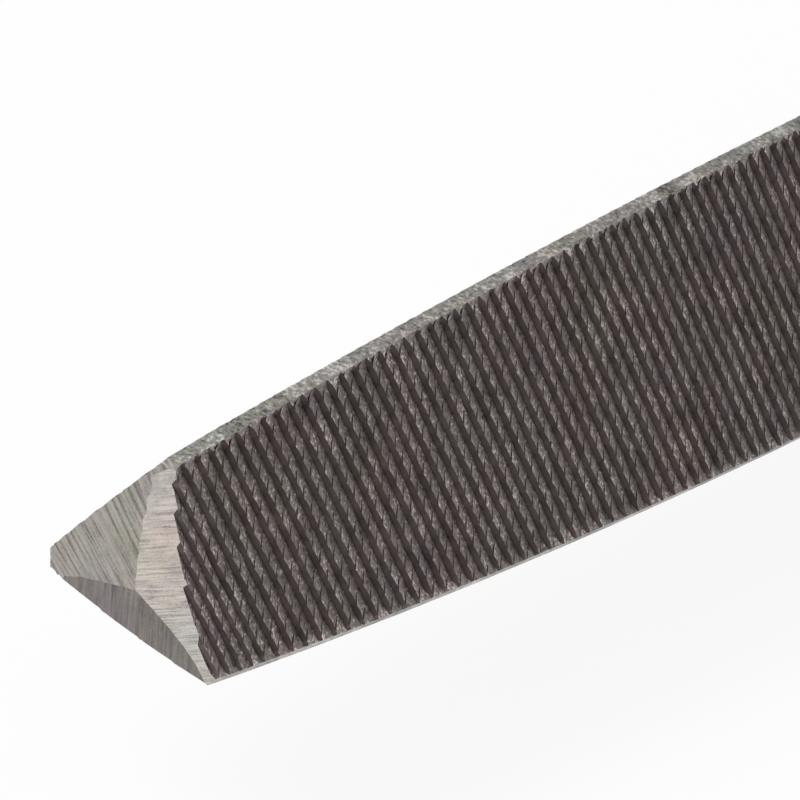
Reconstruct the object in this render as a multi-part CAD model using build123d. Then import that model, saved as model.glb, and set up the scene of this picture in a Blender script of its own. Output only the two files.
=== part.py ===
from build123d import *
from math import cos, radians, sin, sqrt, tan
import os

# A triangular (three-square) hand file with a turned wooden handle.
# Millimetres. +X runs along the file from the handle to the tip, +Z is up, and the origin is
# the centre of the ferrule's mouth. One face of the blade looks down and one edge points up.

# blade body
blade_length = 200.0
heel_gap = 6.5
blade_side = 16.1
tip_side = 11.45
taper_length = 59.6
edge_flat = 0.75

# teeth of the first cut, the same on all three faces
tooth_pitch = 0.92
tooth_depth = 0.35
tooth_front_width = 0.09
tooth_angle = 66.7
smooth_heel = 8.0

# ground end: how far the peak stands ahead of each edge's end, and how far off the axis it is
top_edge_back = 0.8
right_edge_back = 2.4
left_edge_back = 0.55
peak_offset = 0.54
peak_direction = -60.0

# tang
shoulder_gap = 1.2
tang_length = 51.0
tang_side = 9.6
tang_flat = 1.3
tang_end_side = 3.4
tang_end_flat = 0.9

# ferrule
ferrule_length = 17.0
ferrule_outer_radius = 10.0
ferrule_wall = 0.8
ferrule_edge_break = 0.2
punch_radius = 2.2
punch_depth = 0.55
punch_place = 12.5
punch_count = 2

# handle
handle_length = 118.0
wood_recess = 0.6
wood_fit = 0.02
wood_clearance = 0.05
shoulder_step = 0.5
shoulder_edge = 0.4
swell_place = 27.0
swell_radius = 12.0
waist_place = 47.0
waist_radius = 10.9
belly_place = 88.0
belly_radius = 14.2
butt_radius = 11.6
butt_crown = 5.0
butt_edge = 4.0
tang_clearance = 0.1
socket_spare = 1.5

# how far cutting shapes run past what they cut
overrun = 3.0

heel_x = heel_gap
peak_x = heel_x + blade_length
edge_backs = (top_edge_back, right_edge_back, left_edge_back)
tip_x = peak_x - sum(edge_backs) / len(edge_backs)
belly_x = tip_x - taper_length

# turns about the axis: of each face from the upper one, and of each edge from +Y towards +Z
face_turns = (-60.0, 60.0, 180.0)
edge_turns = (90.0, 210.0, 330.0)


def face_height(side):
    """Distance from the axis to a face of a triangle of this side."""
    return side / (2 * sqrt(3))


def edge_height(side, flat):
    """Distance from the axis to the narrow flat that takes off each corner."""
    return side / sqrt(3) - flat * sqrt(3) / 2


def side_at(x):
    """Side of the triangle at x: full up to the belly, then narrowing to the tip in an arc."""
    if x <= belly_x:
        return blade_side
    narrowing = (blade_side - tip_side) / taper_length**2
    return blade_side - narrowing * (x - belly_x) ** 2


def triangle_face(x, side, flat, grow=0.0):
    """Face across the axis at x: a triangle with its corners taken off, grown all round."""
    grown_side = side + 2 * sqrt(3) * grow
    grown_flat = flat + 2 * grow / sqrt(3)
    reach = edge_height(grown_side, grown_flat)
    points = []
    for turn in edge_turns:
        for half in (-grown_flat / 2, grown_flat / 2):
            y = reach * cos(radians(turn)) - half * sin(radians(turn))
            z = reach * sin(radians(turn)) + half * cos(radians(turn))
            points.append((y, z))
    return Plane.YZ.offset(x) * Polygon(*points, align=None)


def edge_slab(turn):
    """Block whose top is one edge flat: straight, then bending down to the tip in an arc."""
    full = edge_height(blade_side, edge_flat)
    narrowed = edge_height(tip_side, edge_flat)
    slope = -2 * (full - narrowed) / taper_length
    past = tip_x + overrun
    start = (heel_x, full)
    bend = (belly_x, full)
    tip = (tip_x, narrowed)
    end = (past, narrowed + slope * overrun)
    edge = Line(start, bend) + TangentArc(bend, tip, tangent=(1, 0)) + Line(tip, end)
    rest = Polyline(end, (past, -blade_side), (heel_x, -blade_side), start)
    profile = make_face(Wire(edge.edges() + rest.edges()))
    slab = extrude(Plane.XZ * profile, amount=blade_side, both=True)
    return Rot(X=turn) * slab


def tooth_comb():
    """Block whose sawtooth top is a toothed face, with the teeth slanting across the blade."""
    slant = radians(tooth_angle)
    low = -overrun
    start = (heel_x + smooth_heel) * sin(slant)
    end = (peak_x + blade_side) * sin(slant)
    heel = (heel_x - blade_side) * sin(slant)
    points = [(heel, low), (heel, face_height(blade_side))]
    place = start
    while place < end:
        crest = face_height(side_at(place / sin(slant)))
        points.append((place - tooth_front_width, crest))
        points.append((place, crest - tooth_depth))
        place += tooth_pitch
    points.append((place, low))
    across = Plane(origin=(0, 0, 0), x_dir=(sin(slant), cos(slant), 0), z_dir=(cos(slant), -sin(slant), 0))
    reach = peak_x * cos(slant) + blade_side
    return extrude(across * Polygon(*points, align=None), amount=reach, both=True)


def toothed_third():
    """The third of the blade body under one toothed face, with that face on top."""
    top = blade_side
    half_width = top * tan(radians(60))
    wedge = Polygon((0, 0), (half_width, top), (-half_width, top), align=None)
    third = extrude(Plane.YZ.offset(heel_x) * wedge, amount=tip_x + overrun - heel_x)
    third &= edge_slab(-60)
    third &= edge_slab(60)
    return third & tooth_comb()


def tang_spike(grow=0.0, deeper=0.0):
    """Tapered tang, or with a growth all round and a deeper end, the socket that takes it."""
    root = triangle_face(shoulder_gap, tang_side, tang_flat, grow)
    point = triangle_face(shoulder_gap - tang_length - deeper, tang_end_side, tang_end_flat, grow)
    return loft([point, root], ruled=True)


def tang():
    """The tang and the shoulder that spreads from it to the heel."""
    root = triangle_face(shoulder_gap, tang_side, tang_flat)
    heel = triangle_face(heel_x, blade_side, edge_flat)
    return tang_spike() + loft([root, heel], ruled=True)


def ground_block():
    """Block that ends in the three ground planes, which meet at a peak a little off the axis."""
    length = peak_x + overrun - (heel_x - overrun)
    block = Pos(X=peak_x + overrun - length / 2) * Box(length, 2 * blade_side, 2 * blade_side)
    rise = radians(peak_direction)
    peak = Vector(peak_x, peak_offset * cos(rise), peak_offset * sin(rise))
    edge_ends = []
    for turn, back in zip(edge_turns, edge_backs):
        x = peak_x - back
        reach = edge_height(side_at(x), edge_flat)
        edge_ends.append(Vector(x, reach * cos(radians(turn)), reach * sin(radians(turn))))
    for index, edge_end in enumerate(edge_ends):
        outward = (edge_ends[index - 1] - peak).cross(edge_end - peak)
        block = split(block, bisect_by=Plane(origin=peak, z_dir=outward), keep=Keep.BOTTOM)
    return block


def file_blade():
    """Hardened blade: three toothed faces, narrow flats along the edges, a ground end and a tang."""
    third = toothed_third()
    thirds = [Rot(X=turn) * third for turn in face_turns]
    body = thirds[0].fuse(thirds[1], thirds[2], glue=True)
    return (body & ground_block()) + tang()


def punch_places():
    """Centres of the punched dimples, round the ferrule."""
    centre = Pos(X=-punch_place, Z=ferrule_outer_radius + punch_radius - punch_depth)
    return [Rot(X=360 / punch_count * index) * centre for index in range(punch_count)]


def ferrule():
    """Steel tube over the handle's neck, held by punched dimples."""
    bore = ferrule_outer_radius - ferrule_wall
    core = Cylinder(bore, ferrule_length)
    tube = Cylinder(ferrule_outer_radius, ferrule_length) - core
    back_rim = tube.edges().filter_by(GeomType.CIRCLE).group_by(Axis.Z)[0]
    along = Pos(X=-ferrule_length / 2) * Rot(Y=90)
    tube = along * chamfer(back_rim, ferrule_edge_break)
    for place in punch_places():
        tube += place * Sphere(punch_radius + ferrule_wall) & along * core
        tube -= place * Sphere(punch_radius)
    return tube


def rims(turned):
    """Full circles of a turned piece, from the butt end forwards."""
    circles = turned.edges().filter_by(GeomType.CIRCLE)
    return circles.filter_by(lambda edge: edge.is_closed).sort_by(Axis.X)


def handle():
    """Turned hardwood handle, with a neck inside the ferrule and a socket for the tang."""
    neck = ferrule_outer_radius - ferrule_wall - wood_fit
    seat = -ferrule_length - wood_fit
    crown = -wood_recess - handle_length
    butt = (crown + butt_crown, butt_radius)
    shoulder = (seat, ferrule_outer_radius + shoulder_step)
    swell = (-swell_place, swell_radius)
    waist = (-waist_place, waist_radius)
    belly = (-belly_place, belly_radius)
    front = Polyline((crown, 0), (-wood_recess, 0), (-wood_recess, neck), (seat, neck), shoulder)
    grip = Spline(shoulder, swell, waist, belly, butt)
    dome = TangentArc((crown, 0), butt, tangent=(0, 1))
    outline = make_face(Wire(front.edges() + grip.edges() + dome.edges()))
    wood = revolve(outline, Axis.X)
    wood = fillet(rims(wood)[0], butt_edge)
    shoulder_rim = [rim for rim in rims(wood) if rim.radius > ferrule_outer_radius][-1]
    wood = fillet(shoulder_rim, shoulder_edge)
    wood -= tang_spike(tang_clearance, socket_spare)
    for place in punch_places():
        wood -= place * Sphere(punch_radius + ferrule_wall + wood_clearance)
    return wood


os.makedirs("parts", exist_ok=True)
for make_piece in (file_blade, ferrule, handle):
    export_step(make_piece(), f"parts/{make_piece.__name__}.step")
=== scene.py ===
import bmesh
import bpy
from bisect import bisect_right
from math import cos, floor, pi, radians, sin, sqrt, tan
from mathutils import Matrix, Vector, geometry, noise


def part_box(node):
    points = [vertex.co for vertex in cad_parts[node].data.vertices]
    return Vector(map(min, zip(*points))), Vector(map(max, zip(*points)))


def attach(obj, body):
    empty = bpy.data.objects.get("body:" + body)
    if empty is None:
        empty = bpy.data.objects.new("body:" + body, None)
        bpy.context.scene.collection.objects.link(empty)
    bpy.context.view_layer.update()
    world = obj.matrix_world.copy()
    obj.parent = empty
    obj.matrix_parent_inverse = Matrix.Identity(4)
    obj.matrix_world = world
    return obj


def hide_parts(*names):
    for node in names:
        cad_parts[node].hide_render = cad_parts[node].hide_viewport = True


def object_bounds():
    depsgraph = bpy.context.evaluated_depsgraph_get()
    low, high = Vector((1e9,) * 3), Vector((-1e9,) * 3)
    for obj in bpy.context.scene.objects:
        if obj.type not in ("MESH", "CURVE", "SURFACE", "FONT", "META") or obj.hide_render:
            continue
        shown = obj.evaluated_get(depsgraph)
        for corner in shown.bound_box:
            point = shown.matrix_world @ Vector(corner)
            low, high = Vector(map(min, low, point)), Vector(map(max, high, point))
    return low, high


# A triangular (three-square) hand file with a turned wooden handle, seen close up at its ground end.
# Pieces are modelled in millimetres in the CAD's frame, +X towards the tip and +Z up, and each mesh
# is scaled to metres when it is finished.
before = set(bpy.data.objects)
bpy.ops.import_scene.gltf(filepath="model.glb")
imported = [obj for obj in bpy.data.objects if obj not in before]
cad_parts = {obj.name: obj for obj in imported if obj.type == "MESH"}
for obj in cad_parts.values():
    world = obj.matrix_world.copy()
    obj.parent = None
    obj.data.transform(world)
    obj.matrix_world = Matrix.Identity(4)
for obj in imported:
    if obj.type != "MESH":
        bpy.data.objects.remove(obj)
cad_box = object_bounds()
millimetre = 0.001

# The blade is one bar of hardened file steel. Each face is cut with chisel teeth twice, first in
# coarse straight lines and then across them, and the three edges and the end are ground bare.
# The forged tang at its heel is driven into the handle.
blade_low, blade_high = (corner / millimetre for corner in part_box("file_blade"))
blade_length = 200.0
peak_x = blade_high.x
heel_x = peak_x - blade_length
blade_side = -2 * sqrt(3) * blade_low.z
edge_flat = 0.75

# From its belly on the blade narrows to tip_x, the mean place of the three edges' ends.
tip_setback = 1.25
tip_x = peak_x - tip_setback
tip_side = 11.45
taper_length = 59.6
belly_x = tip_x - taper_length

# Turns about the axis from +Y towards +Z: of each face from the upper one, and of each edge.
face_turns = (-60.0, 60.0, 180.0)
edge_turns = (90.0, 210.0, 330.0)

# Slots of the blade's materials. The ground end has three slots, one for each of its faces.
tooth_back_slot = 0
edge_flat_slot = 1
ground_end_slot = 2
forged_slot = 5
tooth_front_slot = 6
second_wall_slot = 7

# Distances within which places count as one, from the finest to the loosest.
cut_tolerance = 0.0001
tolerance = 0.001
weld_distance = 0.002
rim_weld_distance = 0.004
loose_tolerance = 0.01

# The edge flats follow the blade's narrowing in straight pieces between these bends, a little past
# the end, which is then ground back.
bends = 10
past_end = 1.5
end_x = peak_x + past_end
bend_length = (taper_length + past_end) / bends
land_stations = [heel_x, *[belly_x + bend_length * (bend + 0.5) for bend in range(bends)], end_x]


def face_height(side):
    """Distance from the axis to a face of a triangle of this side."""
    return side / (2 * sqrt(3))


def edge_height(side, flat):
    """Distance from the axis to the narrow flat that takes off each corner."""
    return side / sqrt(3) - flat * sqrt(3) / 2


def side_at(x):
    """Side of the triangle at x: full up to the belly, then narrowing to the tip in an arc."""
    narrowing = (blade_side - tip_side) / taper_length**2
    return blade_side - narrowing * max(x - belly_x, 0) ** 2


# The first cut makes straight teeth across the face, each with a long back and a steep front that
# faces the tip. Just before the end the teeth stand closer together.
first_angle = radians(66.7)
first_pitch = 0.92
first_depth = 0.35
first_front = 0.09
smooth_heel = 8.3
heel_margin = 0.3
first_root = (heel_x + smooth_heel) * sin(first_angle)
crowded_from = 187.0
crowded_pitch = 0.735
teeth_across = Vector((sin(first_angle), cos(first_angle), 0))

# The second cut crosses it, lowers the teeth and pushes their edges to and fro. Each pair is a place,
# as a share of the second cut's pitch or of a tooth's height, and the value there.
second_angle = radians(47.9)
second_pitch = 0.821
second_start = 0.34
second_columns = ((0.0, 1.0), (0.45, 0.45), (0.97, 0.2), (1.0, 1.0))
second_leads = ((0.0, -0.1), (0.97, 0.07), (1.0, -0.1))
second_depths = ((0.0, 0.02), (0.26, 0.01), (0.7, 0.095), (1.0, 0.135))
second_along = Vector((cos(second_angle), sin(second_angle), 0))
second_wall_column = len(second_columns) - 2
lattice = sin(first_angle + second_angle)

# Rows along a tooth's back, as pairs of a place on it and the share of its height there. Only the
# teeth near the tip are seen close enough to need more than two.
fine_rows = ((0.0, 0.0), (0.3, 0.26), (0.72, 0.7), (1.0, 1.0))
plain_rows = ((0.0, 0.0), (1.0, 1.0))
fine_length = 62.0

# The teeth run out beside the edge flats, where they lean towards the tip and are nearly filled in.
run_out = 0.4
run_out_share = 0.06
run_out_lean = 0.2
rim_fill = 0.7
unevenness = 0.035
unevenness_scale = 1.1
unevenness_layer = 3.0


def profile(steps, place):
    """Value at a place between the first and the last of some (place, value) steps."""
    for (low, start), (high, end) in zip(steps, steps[1:]):
        if place <= high:
            return start + (end - start) * (place - low) / (high - low)
    return steps[-1][1]


def first_cut_roots():
    """Places of the first cut's gullets, counted square to them, from the heel to past the tip."""
    roots = [first_root]
    while roots[-1] < (peak_x + blade_side / 2) * sin(first_angle):
        roots.append(roots[-1] + (first_pitch if roots[-1] < crowded_from else crowded_pitch))
    return roots


roots = first_cut_roots()


def tooth_strip(bm, rows):
    """Flat strip between lines of the first cut, divided where the second cut's lines cross it."""
    reach = blade_side / 2 + 2 * first_pitch
    start = rows[0] * sin(second_angle) - reach * lattice
    end = rows[-1] * sin(second_angle) + reach * lattice
    low = floor((start / sin(first_angle) - second_start) / second_pitch)
    high = floor((end / sin(first_angle) - second_start) / second_pitch) + 1
    columns = [
        (line + place) * second_pitch + second_start
        for line in range(low, high) for place, _ in second_columns[:-1]
    ]
    across = len(columns) - 1
    along = len(rows) - 1
    grid = bmesh.ops.create_grid(bm, x_segments=across, y_segments=along, size=0.5)
    for face in {face for vert in grid["verts"] for face in vert.link_faces}:
        centre = face.calc_center_median()
        row = floor((centre.y + 0.5) * along)
        column = floor((centre.x + 0.5) * across) % (len(second_columns) - 1)
        if row == along - 1:
            face.material_index = tooth_front_slot
        elif column == second_wall_column:
            face.material_index = second_wall_slot
    for vert in grid["verts"]:
        first = rows[round((vert.co.y + 0.5) * along)]
        second = columns[round((vert.co.x + 0.5) * across)]
        vert.co.x = (first * cos(second_angle) + second * cos(first_angle)) / lattice
        vert.co.y = (first * sin(second_angle) - second * sin(first_angle)) / lattice


def tooth_lines():
    """Rows of each strip, from the smooth heel to past the tip."""
    front_start = first_root - first_front
    yield [(heel_x - blade_side) * sin(first_angle), front_start - heel_margin, front_start, first_root]
    for root, following in zip(roots, roots[1:]):
        back = following - root - first_front
        steps = fine_rows if root > (tip_x - fine_length) * sin(first_angle) else plain_rows
        yield [root + back * place for place, _ in steps] + [following]


def inside_edge(x, y):
    """0 on the edge flats, rising smoothly to 1 where the teeth have their full depth."""
    inside = side_at(x) / 2 - edge_flat - abs(y)
    fade = min(max(inside / run_out, 0.0), 1.0)
    return fade * (2 - fade)


def tooth_cut(x, y):
    """How far the teeth lie below the plain face here, how far they lean, and how near a crest is."""
    plain_crest = 0.5
    first = x * sin(first_angle) + y * cos(first_angle)
    second = x * sin(second_angle) - y * cos(second_angle) - second_start
    if first < first_root - first_front - tolerance:
        return 0.0, Vector(), plain_crest
    if first < first_root + tolerance:
        pitch = first_pitch
        share = (first_root - first) / first_front
    else:
        line = min(bisect_right(roots, first), len(roots) - 1)
        pitch = roots[line] - roots[line - 1]
        past_root = first - roots[line - 1]
        back = pitch - first_front
        if past_root < back:
            share = profile(fine_rows, past_root / back)
        else:
            share = (pitch - past_root) / first_front
    share = min(max(share, 0.0), 1.0)
    place = second / second_pitch % 1
    inside = inside_edge(x, y)
    depth_share = (run_out_share + (1 - run_out_share) * inside) * pitch / first_pitch
    noise_place = Vector((x * unevenness_scale, y * unevenness_scale, unevenness_layer))
    uneven = unevenness * noise.noise(noise_place)
    scallop = profile(second_depths, share) * profile(second_columns, place)
    lean = second_along * profile(second_leads, place) * share**2 * inside
    if share > 0:
        lean += teeth_across * run_out_lean * (1 - inside)
    return depth_share * (first_depth * (1 - share) + scallop + uneven), lean, share


def trim(bm, point, outward):
    """Cuts off what lies beyond a plane, and gives the cut's new edges."""
    geom = bm.verts[:] + bm.edges[:] + bm.faces[:]
    cut = bmesh.ops.bisect_plane(
        bm, geom=geom, dist=cut_tolerance, plane_co=point, plane_no=outward, clear_outer=True
    )
    return [item for item in cut["geom_cut"] if isinstance(item, bmesh.types.BMEdge)]


def trim_to_outline(bm):
    """Trims the upper face by the planes of its two edge flats, and at the heel and past the end."""
    for hand in (-1, 1):
        for bend in range(bends + 1):
            x = belly_x + bend_length * bend
            reach = edge_height(side_at(x), edge_flat)
            slope = 2 * (blade_side - side_at(x)) / max(x - belly_x, 1) / sqrt(3)
            across = Vector((0, hand * cos(radians(30)), sin(radians(30))))
            trim(bm, Vector((x, 0, 0)) + across * reach, across + Vector((slope, 0, 0)))
    trim(bm, Vector((heel_x, 0, 0)), Vector((-1, 0, 0)))
    trim(bm, Vector((end_x, 0, 0)), Vector((1, 0, 0)))
    for x in land_stations[1:-1]:
        geom = bm.verts[:] + bm.edges[:] + bm.faces[:]
        bmesh.ops.bisect_plane(bm, geom=geom, dist=cut_tolerance, plane_co=(x, 0, 0), plane_no=(1, 0, 0))


def fill_rims(bm):
    """Fills the ends of the gullets along the edge flats, moving their points up within the flats."""
    for vert in bm.verts:
        if vert.is_boundary and heel_x + tolerance < vert.co.x < end_x - tolerance:
            rise = (face_height(side_at(vert.co.x)) - vert.co.z) * rim_fill
            vert.co += Vector((0, -rise * tan(radians(30)) * (1 if vert.co.y > 0 else -1), rise))
    rim = [vert for vert in bm.verts if vert.is_boundary]
    bmesh.ops.remove_doubles(bm, verts=rim, dist=rim_weld_distance)


def join_heel(bm):
    """Makes the smooth stretch at the heel one flat face."""
    straight = 0.02
    heel_end = first_root - first_front - heel_margin + loose_tolerance
    plain = [face for face in bm.faces if max(vert.co.dot(teeth_across) for vert in face.verts) < heel_end]
    heel = bmesh.ops.dissolve_faces(bm, faces=plain, use_verts=False)["region"][0]
    midway = [vert for vert in heel.verts if len(vert.link_edges) == 2 and vert.calc_edge_angle() < straight]
    bmesh.ops.dissolve_verts(bm, verts=midway)


def toothed_sheet():
    """The upper face of the blade as an open sheet, cut with both sets of teeth.

    What points up more than back_rise is a tooth's back, whichever cut made it.
    """
    back_rise = 0.88
    bm = bmesh.new()
    crest = bm.verts.layers.float.new("crest")
    for rows in tooth_lines():
        tooth_strip(bm, rows)
    bmesh.ops.remove_doubles(bm, verts=bm.verts, dist=weld_distance)
    for vert in bm.verts:
        cut, lean, vert[crest] = tooth_cut(vert.co.x, vert.co.y)
        vert.co.z = face_height(side_at(vert.co.x)) - cut
        vert.co += lean
    bm.normal_update()
    for face in bm.faces:
        if face.normal.z > back_rise:
            face.material_index = tooth_back_slot
    trim_to_outline(bm)
    fill_rims(bm)
    join_heel(bm)
    return bm


def turned(turn, x, reach, aside=0.0):
    """Point at this turn about the axis from +Y towards +Z, and a little aside from there."""
    rise = radians(turn)
    return Vector((x, reach * cos(rise) - aside * sin(rise), reach * sin(rise) + aside * cos(rise)))


def open_edges(bm):
    """Edges with a face on one side only."""
    return [edge for edge in bm.edges if edge.is_boundary]


def fill_flat(bm, edges, outward, slot):
    """Closes a loop of edges with faces in one material slot."""
    filled = bmesh.ops.triangle_fill(bm, edges=edges, use_beauty=True, normal=outward)
    for item in filled["geom"]:
        if isinstance(item, bmesh.types.BMFace):
            item.material_index = slot


def fill_land(bm, sides, stations, turn):
    """Fills an edge flat between two places along the blade."""
    beside = turned(turn, 0, 0, 1)
    part = []
    ends = []
    for hand in (-1, 1):
        side = [edge for edge in sides if edge.verts[0].co.dot(beside) * hand > 0]
        verts = {vert for edge in side for vert in edge.verts}
        start, end = (min(verts, key=lambda vert: abs(vert.co.x - x)) for x in stations)
        part += [edge for edge in side if all(start.co.x <= vert.co.x <= end.co.x for vert in edge.verts)]
        ends.append((start, end))
    for corners in zip(*ends):
        part.append(bm.edges.get(corners) or bm.edges.new(corners))
    fill_flat(bm, part, turned(turn, 0, 1), edge_flat_slot)


# The last few teeth of the two faces that are turned away are worn down to shallow marks.
worn_length = 3.0
worn_share = 0.8
worn_depth = 0.05
tooth_reach = 0.6


def wear_end(verts):
    """Rubs down the last few teeth of an unturned face."""
    for vert in verts:
        worn = min(max((vert.co.x - tip_x + worn_length) / worn_length, 0.0), 1.0)
        plain = face_height(side_at(vert.co.x))
        if vert.co.z > plain - tooth_reach:
            vert.co.z += (plain - worn_depth - vert.co.z) * worn * worn_share


def toothed_bar():
    """Closed bar of three toothed faces, with the ground flats filled in along its edges."""
    half_gap = 1.2
    bm = toothed_sheet()
    sheet = bm.verts[:] + bm.edges[:] + bm.faces[:]
    copies = [bmesh.ops.duplicate(bm, geom=sheet)["geom"] for _ in face_turns[1:]]
    for turn, geom in zip(face_turns, [sheet] + copies):
        verts = [item for item in geom if isinstance(item, bmesh.types.BMVert)]
        if turn != face_turns[0]:
            wear_end(verts)
        bmesh.ops.rotate(bm, verts=verts, cent=(0, 0, 0), matrix=Matrix.Rotation(radians(turn), 3, "X"))
    sides = [
        edge for edge in open_edges(bm)
        if not any(all(abs(vert.co.x - end) < tolerance for vert in edge.verts) for end in (heel_x, end_x))
    ]
    for turn in edge_turns:
        out = turned(turn, 0, 1)
        beside = turned(turn, 0, 0, 1)
        flat = [
            edge for edge in sides
            if all(abs(vert.co.dot(beside)) < half_gap and vert.co.dot(out) > 0 for vert in edge.verts)
        ]
        for stations in zip(land_stations, land_stations[1:]):
            fill_land(bm, flat, stations, turn)
    tip_loop = [edge for edge in open_edges(bm) if edge.verts[0].co.x > tip_x]
    fill_flat(bm, tip_loop, (1, 0, 0), tooth_back_slot)
    return bm


# The end is ground by hand to three faces, each bulging a little across its grinding marks. Each row
# is a point on the face, the way it faces, a line along its bulge, and the bulge's radius.
ground_faces = (
    ((205.94, -1.76, 0.77), (0.98, -0.192, -0.05), (0.177, 0.976, -0.129), 15.9),
    ((206.33, 1.81, 0.83), (0.999, 0.019, -0.031), (-0.049, 0.845, 0.532), 16.0),
    ((205.61, 0.04, -2.19), (0.932, -0.077, -0.353), (-0.397, -0.065, -0.915), 47.0),
)
grinding_steps = 6
grinding_step = 0.9
worn_corner = (0.633, -0.737, -0.236)
worn_corner_depth = 0.3


def grind_end(bm):
    """Grinds the tip to its three faces in narrow flats that follow each bulge."""
    for index, (centre, outward, along, bulge) in enumerate(ground_faces):
        outward = Vector(outward).normalized()
        across = outward.cross(along).normalized()
        for step in range(-grinding_steps, grinding_steps + 1):
            aside = grinding_step * step
            point = Vector(centre) + across * aside - outward * (aside**2 / bulge / 2)
            cut = trim(bm, point, outward + across * (aside / bulge))
            if cut:
                fill_flat(bm, cut, outward, ground_end_slot + index)


def blunt_corner(bm):
    """Takes the sharp corner off the end of one edge, as wear has done."""
    outward = Vector(worn_corner).normalized()
    reach = max(vert.co.dot(outward) for vert in bm.verts)
    cut = trim(bm, outward * (reach - worn_corner_depth), outward)
    fill_flat(bm, cut, outward, edge_flat_slot)


# The shoulder and the tang run through triangles at these places: x, side and corner flat.
tang_rings = (
    (1.2, 9.6, 1.3),
    (-49.8, 3.4, 0.9),
)


def forge_tang(bm):
    """Draws the heel down to the tang, ring by ring."""
    for x, side, flat in tang_rings:
        grown = bmesh.ops.extrude_edge_only(bm, edges=open_edges(bm))["geom"]
        ring = [item for item in grown if isinstance(item, bmesh.types.BMVert)]
        for vert in ring:
            turn = max(edge_turns, key=lambda turn: vert.co.dot(turned(turn, 0, 1)))
            hand = 1 if vert.co.dot(turned(turn, 0, 0, 1)) > 0 else -1
            vert.co = turned(turn, x, edge_height(side, flat), hand * flat / 2)
        for item in grown:
            if isinstance(item, bmesh.types.BMFace):
                item.material_index = forged_slot
        bmesh.ops.remove_doubles(bm, verts=ring, dist=loose_tolerance)
    end = bmesh.ops.contextual_create(bm, geom=open_edges(bm))
    for face in end["faces"]:
        face.material_index = forged_slot


def finished(bm, name, materials):
    """Scales a piece to metres and makes it an object with its materials.

    Edges stay sharp where they turn much or where two materials meet, but the fronts of the teeth
    are smooth all along.
    """
    sharp_angle = radians(28)
    bmesh.ops.recalc_face_normals(bm, faces=bm.faces)
    bmesh.ops.scale(bm, vec=(millimetre, millimetre, millimetre), verts=bm.verts)
    for face in bm.faces:
        face.smooth = True
    for edge in bm.edges:
        kinds = {face.material_index for face in edge.link_faces}
        gentle = len(kinds) == 1 and edge.calc_face_angle(0) < sharp_angle
        edge.smooth = gentle or kinds == {tooth_front_slot}
    mesh = bpy.data.meshes.new(name)
    bm.to_mesh(mesh)
    bm.free()
    for material in materials:
        mesh.materials.append(material)
    piece = bpy.data.objects.new(name, mesh)
    bpy.context.scene.collection.objects.link(piece)
    return piece


def new_material(name):
    """Material, its node tree, its Principled shader and the object's own coordinates."""
    material = bpy.data.materials.new(name)
    material.use_nodes = True
    tree = material.node_tree
    place = tree.nodes.new("ShaderNodeTexCoord").outputs["Object"]
    return material, tree, tree.nodes["Principled BSDF"], place


def fill_inputs(tree, node, inputs):
    """Joins a node's inputs to other nodes, or gives them values."""
    for name, value in inputs.items():
        if isinstance(value, bpy.types.NodeSocket):
            tree.links.new(value, node.inputs[name])
        else:
            node.inputs[name].default_value = value


def add_node(tree, kind, inputs, **settings):
    """Adds a node, sets it up and fills its inputs."""
    node = tree.nodes.new(kind)
    for name, value in settings.items():
        setattr(node, name, value)
    fill_inputs(tree, node, inputs)
    return node


def placed_group(tree, group, **inputs):
    """Places a node group in a material, fills its inputs and gives its outputs."""
    node = add_node(tree, "ShaderNodeGroup", {}, node_tree=group)
    fill_inputs(tree, node, inputs)
    return node.outputs


def new_group(name, inputs, outputs):
    """Node group with its named sockets, and the sockets of its input and output nodes."""
    group = bpy.data.node_groups.new(name, "ShaderNodeTree")
    for in_out, sockets in (("INPUT", inputs), ("OUTPUT", outputs)):
        for socket, kind in sockets.items():
            group.interface.new_socket(socket, in_out=in_out, socket_type=f"NodeSocket{kind}")
    given = group.nodes.new("NodeGroupInput").outputs
    results = group.nodes.new("NodeGroupOutput").inputs
    return group, given, results


def maths(tree, operation, *values, clamp=False):
    """One sum on some values."""
    return add_node(
        tree, "ShaderNodeMath", dict(enumerate(values)), operation=operation, use_clamp=clamp
    ).outputs[0]


def mixture(tree, start, *parts):
    """A starting value plus some patterns, each times its share."""
    for pattern, share in parts:
        start = maths(tree, "MULTIPLY_ADD", pattern, share, start)
    return start


def dot(tree, first, second):
    """How far one vector reaches along another."""
    vectors = {0: first, 1: second}
    return add_node(tree, "ShaderNodeVectorMath", vectors, operation="DOT_PRODUCT").outputs["Value"]


def grain(tree, place, fineness, detail, roughness=0.5, output="Fac"):
    """Random pattern at a place, as a value or as colours."""
    inputs = {"Vector": place, "Scale": fineness, "Detail": detail, "Roughness": roughness}
    return add_node(tree, "ShaderNodeTexNoise", inputs).outputs[output]


def colour_steps(tree, factor, steps):
    """Colour ramp from (place, colour) steps."""
    ramp = add_node(tree, "ShaderNodeValToRGB", {"Fac": factor})
    elements = ramp.color_ramp.elements
    for element, (place, colour) in zip((elements[0], elements[-1]), (steps[0], steps[-1])):
        element.position = place
        element.color = (*colour, 1)
    for place, colour in steps[1:-1]:
        elements.new(place).color = (*colour, 1)
    return ramp.outputs["Color"]


def tinted(tree, colour, tint):
    """A colour times a tint."""
    inputs = {0: 1.0, 6: colour, 7: tint}
    return add_node(tree, "ShaderNodeMix", inputs, data_type="RGBA", blend_type="MULTIPLY").outputs[2]


def finish(tree, shader, colour, roughness, height, strength, depth):
    """Joins a surface's colour, roughness and fine bumps, this many metres deep, to its shader."""
    bump = add_node(tree, "ShaderNodeBump", {"Height": height, "Strength": strength, "Distance": depth})
    tree.links.new(colour, shader.inputs["Base Color"])
    tree.links.new(roughness, shader.inputs["Roughness"])
    tree.links.new(bump.outputs[0], shader.inputs["Normal"])


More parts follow.
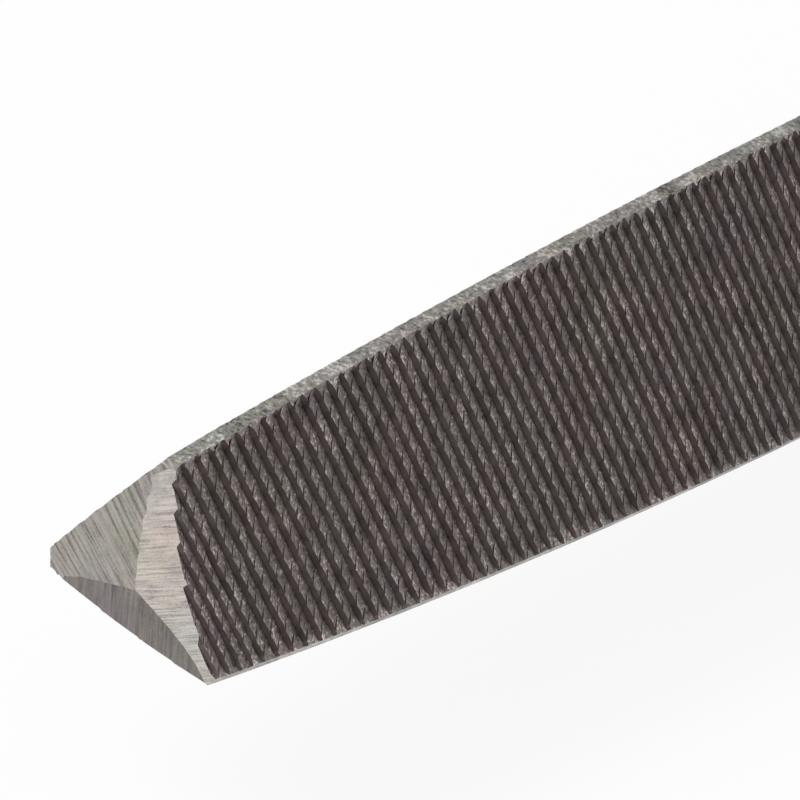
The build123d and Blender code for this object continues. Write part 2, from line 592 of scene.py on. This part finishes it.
def abrasion_group():
    """Fine marks that run one way over a ground or drawn surface, and broader streaks along them."""
    mark_shortening = 0.045
    streak_shortening = 0.02
    streak_coarseness = 0.25
    group, given, results = new_group(
        "abrasion marks",
        {"Place": "Vector", "Along": "Vector", "Across": "Vector", "Fineness": "Float"},
        {"Marks": "Float", "Streaks": "Float"},
    )
    lengthwise = dot(group, given["Place"], given["Along"])
    crosswise = dot(group, given["Place"], given["Across"])
    short = maths(group, "MULTIPLY", lengthwise, mark_shortening)
    long = maths(group, "MULTIPLY", lengthwise, streak_shortening)
    mark_place = add_node(group, "ShaderNodeCombineXYZ", {"X": crosswise, "Y": short}).outputs[0]
    streak_place = add_node(group, "ShaderNodeCombineXYZ", {"X": crosswise, "Y": long}).outputs[0]
    streak_fineness = maths(group, "MULTIPLY", given["Fineness"], streak_coarseness)
    marks = grain(group, mark_place, given["Fineness"], detail=4.0, roughness=0.7)
    streaks = grain(group, streak_place, streak_fineness, detail=2.0)
    group.links.new(marks, results["Marks"])
    group.links.new(streaks, results["Streaks"])
    return group


abrasion = abrasion_group()


def speckle_group():
    """Fine spots of scrubbed steel, for its pits and for painted glints, larger patches, and the faint hues
    of its oily skin.
    """
    patch_coarseness = 0.12
    hue_coarseness = 0.03
    hue_strength = 0.24
    lowest_tint = 0.88
    group, given, results = new_group(
        "steel speckle",
        {"Place": "Vector", "Fineness": "Float"},
        {"Speckle": "Float", "Patches": "Float", "Tint": "Color"},
    )
    place = given["Place"]
    patch_fineness = maths(group, "MULTIPLY", given["Fineness"], patch_coarseness)
    hue_fineness = maths(group, "MULTIPLY", given["Fineness"], hue_coarseness)
    hue = grain(group, place, hue_fineness, detail=4.0, output="Color")
    tint = add_node(
        group, "ShaderNodeVectorMath", {0: hue, 1: (hue_strength,) * 3, 2: (lowest_tint,) * 3},
        operation="MULTIPLY_ADD",
    ).outputs[0]
    spots = grain(group, place, given["Fineness"], detail=3.0, roughness=0.6)
    patches = grain(group, place, patch_fineness, detail=3.0)
    group.links.new(spots, results["Speckle"])
    group.links.new(patches, results["Patches"])
    group.links.new(tint, results["Tint"])
    return group


speckle = speckle_group()


def ground_steel(name, colour, along, across, fineness, roughness, contrast):
    """Bare steel ground one way, with fine marks and broader streaks."""
    patchiness = 0.15
    roughness_spread = 0.3
    darkening = 0.55
    lightening = 0.3
    material, tree, shader, place = new_material(name)
    marks = placed_group(tree, abrasion, Place=place, Along=along, Across=across, Fineness=fineness)
    spots = placed_group(tree, speckle, Place=place, Fineness=9000.0)
    parts = ((marks["Marks"], 0.75), (spots["Speckle"], 0.25), (spots["Patches"], patchiness))
    tone = mixture(tree, -patchiness / 2, *parts)
    dark = [part * (1 - darkening * contrast) for part in colour]
    light = [min(part * (1 + lightening * contrast), 1.0) for part in colour]
    steps = ((0.38, dark), (0.5, colour), (0.6, light))
    shade = tinted(tree, colour_steps(tree, tone, steps), spots["Tint"])
    rough = mixture(tree, roughness - roughness_spread / 2, (marks["Streaks"], roughness_spread))
    height = mixture(tree, marks["Marks"], (spots["Speckle"], 0.5))
    finish(tree, shader, shade, rough, height, strength=0.8, depth=0.00004)
    shader.inputs["Metallic"].default_value = 1.0
    return material


def edge_flat_steel():
    """The narrow flats along the edges: bare, crumbly where the teeth run out, and a little green."""
    material, tree, shader, place = new_material("edge flat steel")
    spots = placed_group(tree, speckle, Place=place, Fineness=4500.0)
    tone = mixture(tree, 0.0, (spots["Speckle"], 0.6), (spots["Patches"], 0.4))
    steps = (
        (0.37, (0.1, 0.094, 0.08)), (0.44, (0.31, 0.298, 0.262)),
        (0.53, (0.43, 0.415, 0.37)), (0.62, (0.8, 0.78, 0.73)),
    )
    # The flats' colour grows a little lighter towards the tip.
    along = dot(tree, place, (1, 0, 0))
    wear = add_node(tree, "ShaderNodeMapRange", {
        "Value": along, "From Min": 0.15, "From Max": 0.206, "To Min": 0.85, "To Max": 1.05,
    }).outputs[0]
    shade = tinted(tree, tinted(tree, colour_steps(tree, tone, steps), wear), spots["Tint"])
    finish(tree, shader, shade, mixture(tree, 0.25, (tone, 0.5)), tone, strength=0.7, depth=0.00005)
    shader.inputs["Metallic"].default_value = 0.95
    return material


def gullet_shade(tree, colour, height):
    """Colour that darkens below this share of a tooth's height, towards its gullet: painted shade in the
    narrow gullet, and grime there.
    """
    crest = add_node(tree, "ShaderNodeAttribute", {}, attribute_name="crest").outputs["Fac"]
    inputs = {"Value": crest, "From Max": height, "To Min": 0.5}
    return tinted(tree, colour, add_node(tree, "ShaderNodeMapRange", inputs).outputs[0])


def shaded_cut_steel(name, steps):
    """Steel as the chisel left it, smooth, in a dark colour that is painted shade."""
    material, tree, shader, place = new_material(name)
    spots = placed_group(tree, speckle, Place=place, Fineness=7000.0)
    stain = mixture(tree, spots["Patches"], (spots["Speckle"], 0.3))
    shaded = gullet_shade(tree, colour_steps(tree, stain, steps), height=0.15)
    shade = tinted(tree, shaded, spots["Tint"])
    finish(tree, shader, shade, mixture(tree, 0.35, (stain, 0.3)), stain, strength=0.4, depth=0.00003)
    shader.inputs["Metallic"].default_value = 0.6
    return material


def toothed_steel():
    """The backs of the teeth: scrubbed grey steel with pits and painted glints, a little lighter at the
    crests for rubbing and a painted highlight, and with painted shade towards the gullets.
    """
    material, tree, shader, place = new_material("toothed steel")
    crest = add_node(tree, "ShaderNodeAttribute", {}, attribute_name="crest").outputs["Fac"]
    # The crests are lightened a little, partly for rubbed steel and partly as a painted highlight.
    crest_wear_and_highlight = maths(tree, "POWER", crest, 5.0)
    spots = placed_group(tree, speckle, Place=place, Fineness=6000.0)
    tone = mixture(tree, 0.0, (spots["Speckle"], 0.7), (spots["Patches"], 0.3), (crest_wear_and_highlight, 0.03))
    # The lightest step paints the glints.
    steps = (
        (0.37, (0.11, 0.094, 0.089)), (0.44, (0.285, 0.249, 0.239)),
        (0.56, (0.375, 0.33, 0.317)), (0.62, (0.9, 0.84, 0.8)),
    )
    shaded = gullet_shade(tree, colour_steps(tree, tone, steps), height=0.06)
    shade = tinted(tree, shaded, spots["Tint"])
    finish(tree, shader, shade, mixture(tree, 0.3, (tone, 0.35)), tone, strength=0.8, depth=0.00006)
    shader.inputs["Metallic"].default_value = 0.9
    return material


# Colour, direction of the grinding marks, their fineness and their contrast on each face of the end. The
# colours are the steel's tone with painted light and shade: lightest on the second face and darkest on the
# third, which faces down.
end_finishes = (
    ((0.36, 0.335, 0.305), (0.137, 0.867, -0.478), 5000.0, 0.9),
    ((0.535, 0.5, 0.457), (-0.047, 0.819, 0.571), 8500.0, 0.75),
    ((0.205, 0.185, 0.172), (-0.395, -0.028, -0.918), 4500.0, 0.8),
)
end_roughness = 0.38
end_steels = []
for number, (end_finish, ground_face) in enumerate(zip(end_finishes, ground_faces), 1):
    colour, along, fineness, contrast = end_finish
    across = Vector(along).cross(ground_face[1])
    name = f"ground end steel {number}"
    end_steels.append(ground_steel(name, colour, along, across, fineness, end_roughness, contrast))
forged_steel = ground_steel(
    "forged steel", (0.16, 0.15, 0.145), along=(0, 1, 0), across=(1, 0, 0),
    fineness=2500.0, roughness=0.55, contrast=0.6,
)
# The steep fronts of the teeth are painted dark, as shade.
shaded_front_steps = ((0.45, (0.07, 0.052, 0.046)), (0.85, (0.135, 0.102, 0.095)))
crevice_shadow_steps = ((0.45, (0.008, 0.006, 0.005)), (0.85, (0.06, 0.045, 0.042)))
shaded_front_steel = shaded_cut_steel("tooth front painted shade", shaded_front_steps)
# The walls of the second cut are painted nearly black, as the shadow in their narrow crevices.
crevice_shadow_steel = shaded_cut_steel("second cut painted shadow", crevice_shadow_steps)

bm = toothed_bar()
grind_end(bm)
blunt_corner(bm)
forge_tang(bm)
blade = finished(
    bm, "blade", [toothed_steel(), edge_flat_steel(), *end_steels, forged_steel, shaded_front_steel, crevice_shadow_steel]
)
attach(blade, "blade")
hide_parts("file_blade")

# The ferrule is a short length of drawn steel tube over the handle's neck. Two punch marks press
# its wall into the wood, so that it can't work loose.
ferrule_low, ferrule_high = (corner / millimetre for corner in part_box("ferrule"))
ferrule_radius = ferrule_high.y
ferrule_wall = 0.8
ferrule_rim = 0.2
bore = ferrule_radius - ferrule_wall
punch_radius = 2.2
punch_depth = 0.55
punch_x = -12.5

# Points this near to a wall or an end belong to it.
pick_margin = 0.1

# Near the punch marks the tube and the neck are divided into small steps, along and round the axis.
punch_steps = 8
punch_step = 0.25
punch_arc = radians(34)
punch_arc_steps = 22
plain_arc_steps = 34
punch_stations = [punch_x + punch_step * step for step in range(-punch_steps, punch_steps + 1)]


def spin_round(bm, edges):
    """Turns an outline round the axis, in short steps near the punch marks at the top and bottom."""
    geom = edges + list({vert for edge in edges for vert in edge.verts})
    bmesh.ops.rotate(
        bm, cent=(0, 0, 0), matrix=Matrix.Rotation(-punch_arc / 2, 3, "X"), verts=geom[len(edges):]
    )
    for angle, steps in ((punch_arc, punch_arc_steps), (pi - punch_arc, plain_arc_steps)) * 2:
        spun = bmesh.ops.spin(bm, geom=geom, cent=(0, 0, 0), axis=(1, 0, 0), angle=angle, steps=steps)
        geom = spun["geom_last"]
    bmesh.ops.remove_doubles(bm, verts=bm.verts, dist=weld_distance)


def outline_edges(bm, points, closed=False):
    """Edges through (x, radius) points above the axis."""
    verts = [bm.verts.new((x, 0, radius)) for x, radius in points]
    pairs = list(zip(verts, verts[1:])) + ([(verts[-1], verts[0])] if closed else [])
    return [bm.edges.new(pair) for pair in pairs]


def press_punch_marks(verts, radius, thicker=0.0):
    """Pushes a round wall in where the punch met it."""
    wall_allowance = 0.05
    for hand in (1, -1):
        centre = Vector((punch_x, 0, hand * (ferrule_radius + punch_radius - punch_depth)))
        for vert in verts:
            away = vert.co - centre
            if away.length < punch_radius + thicker and vert.co.yz.length > radius - wall_allowance:
                vert.co = centre + away.normalized() * (punch_radius + thicker)


def is_rim(edge):
    """Whether an edge runs round one of the tube's ends."""
    start, end = (vert.co for vert in edge.verts)
    return (
        abs(start.x - end.x) < tolerance
        and min(abs(start.x), abs(start.x - ferrule_low.x)) < tolerance
        and abs(start.yz.length - end.yz.length) < loose_tolerance
    )


bm = bmesh.new()
mouth_stations = [0.0, -4.0, -8.0]
stations = [*mouth_stations, *reversed(punch_stations), ferrule_low.x]
outside = [(x, ferrule_radius) for x in stations]
inside = [(x, bore) for x in reversed(stations)]
spin_round(bm, outline_edges(bm, outside + inside, closed=True))
rims = [edge for edge in bm.edges if is_rim(edge)]
outer_wall = [vert for vert in bm.verts if vert.co.yz.length > ferrule_radius - pick_margin]
press_punch_marks(outer_wall, ferrule_radius)
inner_wall = [vert for vert in bm.verts if vert.co.yz.length < bore + pick_margin]
press_punch_marks(inner_wall, bore, ferrule_wall)
bmesh.ops.bevel(
    bm, geom=rims, offset=ferrule_rim, offset_type="OFFSET", segments=3, profile=0.5, affect="EDGES",
    material=-1,
)

# The tube's steel is satin, with marks round the tube.
drawn_steel = ground_steel(
    "drawn steel", (0.62, 0.61, 0.59), along=(0, 1, 0), across=(1, 0, 0),
    fineness=6000.0, roughness=0.35, contrast=0.3,
)
ferrule = finished(bm, "ferrule_tube", [drawn_steel])
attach(ferrule, "handle")
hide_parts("ferrule")

# The handle is turned from one piece of hardwood and lacquered. Its neck sits in the ferrule, and a
# tapered socket in its end grain takes the tang.
handle_low, handle_high = (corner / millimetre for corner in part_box("handle"))
front_x = handle_high.x
crown_x = handle_low.x
wood_fit = 0.02
neck_radius = bore - wood_fit
seat_x = ferrule_low.x - wood_fit
shoulder_edge = 0.4
tang_clearance = 0.1
socket_spare = 1.5
punch_clearance = 0.05

# The grip runs from the butt to the shoulder through (x, radius) points, each with its direction.
grip_knots = (
    ((crown_x, 0.0), (0.0, 1.0)),
    ((crown_x + 2.04, 7.8), (0.489, 0.872)),
    ((-110.6, 12.2), (0.99, 0.14)),
    ((-88.0, 14.24), (1.0, 0.0)),
    ((-47.0, 10.9), (1.0, 0.0)),
    ((-27.0, 12.0), (1.0, 0.0)),
    ((seat_x - shoulder_edge, 10.6), (0.95, -0.31)),
)
grip_steps = 14

# The shoulder's edge is rounded through these (x, radius) points, down to the ferrule's radius.
lip = [(seat_x - shoulder_edge * 0.3, 10.35), (seat_x, 10.0)]


def flowing_outline(knots, steps):
    """Smooth line through points that each have a direction."""
    tightness = 2.6
    line = [knots[0][0]]
    for (start, leaving), (end, arriving) in zip(knots, knots[1:]):
        reach = (Vector(end) - Vector(start)).length / tightness
        pull = Vector(start) + Vector(leaving) * reach
        push = Vector(end) - Vector(arriving) * reach
        curve = geometry.interpolate_bezier(start, pull, push, end, steps + 1)
        line += [tuple(point[:2]) for point in curve[1:]]
    return line


def socket_corner(x, turn, hand):
    """Corner of the socket's triangular hole at x, following the tang with a little clearance."""
    (root_x, root_side, root_flat), (end_x, end_side, end_flat) = tang_rings
    share = (root_x - x) / (root_x - end_x)
    side = root_side + (end_side - root_side) * share + 2 * sqrt(3) * tang_clearance
    flat = root_flat + (end_flat - root_flat) * share + 2 * tang_clearance / sqrt(3)
    return turned(turn, x, edge_height(side, flat), hand * flat / 2)


bm = bmesh.new()
grip = flowing_outline(grip_knots, grip_steps)
neck = [(seat_x, neck_radius), *[(x, neck_radius) for x in punch_stations], (front_x, neck_radius)]
spin_round(bm, outline_edges(bm, grip + lip + neck))
neck_verts = [vert for vert in bm.verts if vert.co.x > seat_x + pick_margin]
press_punch_marks(neck_verts, neck_radius, ferrule_wall + punch_clearance)
mouth = [edge for edge in open_edges(bm) if edge.verts[0].co.x > front_x - pick_margin]
corners = [
    bm.verts.new(socket_corner(front_x, turn, hand)) for turn in edge_turns for hand in (-1, 1)
]
hole = [bm.edges.new(pair) for pair in zip(corners, corners[1:] + corners[:1])]
bmesh.ops.bridge_loops(bm, edges=mouth + hole)
deep = bmesh.ops.extrude_edge_only(bm, edges=hole)["geom"]
for vert in [item for item in deep if isinstance(item, bmesh.types.BMVert)]:
    turn = max(edge_turns, key=lambda turn: vert.co.dot(turned(turn, 0, 1)))
    hand = 1 if vert.co.dot(turned(turn, 0, 0, 1)) > 0 else -1
    vert.co = socket_corner(tang_rings[-1][0] - socket_spare, turn, hand)
bmesh.ops.contextual_create(bm, geom=open_edges(bm))


def lacquered_wood():
    """Pale hardwood with growth rings round the pith, pores along the grain and a clear coat."""
    rings_per_metre = 420.0
    ring_bend = 2.2
    material, tree, shader, place = new_material("lacquered hardwood")
    stretch = {"Vector": place, "Scale": (0.08, 1.0, 1.0), "Location": (0, 0.021, -0.013)}
    stretched = add_node(tree, "ShaderNodeMapping", stretch).outputs[0]
    apart = add_node(tree, "ShaderNodeSeparateXYZ", {0: stretched}).outputs
    flat = add_node(tree, "ShaderNodeCombineXYZ", {"Y": apart["Y"], "Z": apart["Z"]}).outputs[0]
    from_pith = add_node(tree, "ShaderNodeVectorMath", {0: flat}, operation="LENGTH").outputs["Value"]
    bend = grain(tree, stretched, fineness=60.0, detail=2.0)
    ring = maths(tree, "FRACT", mixture(tree, 0.0, (from_pith, rings_per_metre), (bend, ring_bend)))
    pore_place = add_node(tree, "ShaderNodeMapping", {"Vector": place, "Scale": (0.05, 1.0, 1.0)}).outputs[0]
    pores = grain(tree, pore_place, fineness=3500.0, detail=4.0, roughness=0.7)
    tone = mixture(tree, 0.0, (ring, 0.55), (pores, 0.6))
    steps = ((0.2, (0.66, 0.47, 0.28)), (0.6, (0.6, 0.41, 0.23)), (0.95, (0.47, 0.3, 0.15)))
    shade = colour_steps(tree, tone, steps)
    finish(tree, shader, shade, mixture(tree, 0.32, (pores, 0.25)), pores, strength=0.25, depth=0.00005)
    shader.inputs["Coat Weight"].default_value = 0.5
    shader.inputs["Coat Roughness"].default_value = 0.18
    return material


handle = finished(bm, "turned_handle", [lacquered_wood()])
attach(handle, "handle")
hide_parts("handle")

# The floor is a plain pale sheet under the handle's belly. The camera, and reflections in the steel,
# see it nearly white, with a faint shadow of the object.
floor_half = 1500.0
floor_centre = Vector((80.0, 0, cad_box[0].z / millimetre))
floor_glow = 0.9
bm = bmesh.new()
bmesh.ops.create_grid(bm, x_segments=1, y_segments=1, size=floor_half)
bmesh.ops.translate(bm, vec=floor_centre, verts=bm.verts)
material, tree, shader, place = new_material("pale floor")
shader.inputs["Base Color"].default_value = (0.85, 0.85, 0.85, 1)
shader.inputs["Roughness"].default_value = 0.9
rays = tree.nodes.new("ShaderNodeLightPath").outputs
straight = maths(tree, "ADD", rays["Is Camera Ray"], rays["Is Transmission Ray"])
seen = maths(tree, "ADD", straight, rays["Is Glossy Ray"], clamp=True)
glow = add_node(tree, "ShaderNodeEmission", {"Color": (1, 1, 1, 1), "Strength": 1.0})
blend = add_node(
    tree, "ShaderNodeMixShader",
    {0: maths(tree, "MULTIPLY", seen, floor_glow), 1: shader.outputs[0], 2: glow.outputs[0]},
)
tree.links.new(blend.outputs[0], tree.nodes["Material Output"].inputs["Surface"])
floor_sheet = finished(bm, "floor", [material])

# The light comes from a soft square lamp, above and behind the camera and a little to its left, and
# from a white surround.
world = bpy.data.worlds.new("surround")
bpy.context.scene.world = world
world.use_nodes = True
world.node_tree.nodes["Background"].inputs["Color"].default_value = (1, 1, 1, 1)
world.node_tree.nodes["Background"].inputs["Strength"].default_value = 0.6
lamp_place = Vector((0.9, -0.5, 0.9))
lamp_aim = Vector((0.18, 0, 0))
light = bpy.data.lights.new("main lamp", "AREA")
light.energy = 12.0
light.size = 0.6
lamp = bpy.data.objects.new("main lamp", light)
lamp.location = lamp_place
lamp.rotation_euler = (lamp_aim - lamp_place).to_track_quat("-Z", "Y").to_euler()
bpy.context.scene.collection.objects.link(lamp)

# The camera looks from ahead of the tip and above, close to one face of the blade. Its place, turn
# and lens were fitted to the teeth, the edges and the corners in the photo.
camera_place = (0.49088, 0.15233, 0.19847)
view_right = Vector((-0.56757, 0.77419, 0.28017))
view_down = Vector((0.27722, 0.50013, -0.82038))
view_forward = Vector((-0.77525, -0.38795, -0.49848))
camera_data = bpy.data.cameras.new("camera")
camera_data.lens = 385.4
camera_data.sensor_width = 36.0
camera_data.clip_start = 0.01
camera = bpy.data.objects.new("camera", camera_data)
camera_turn = Matrix((view_right, -view_down, -view_forward)).transposed()
camera.matrix_world = Matrix.Translation(camera_place) @ camera_turn.to_4x4()
bpy.context.scene.collection.objects.link(camera)
bpy.context.scene.camera = camera
bpy.context.scene.view_settings.view_transform = "Standard"
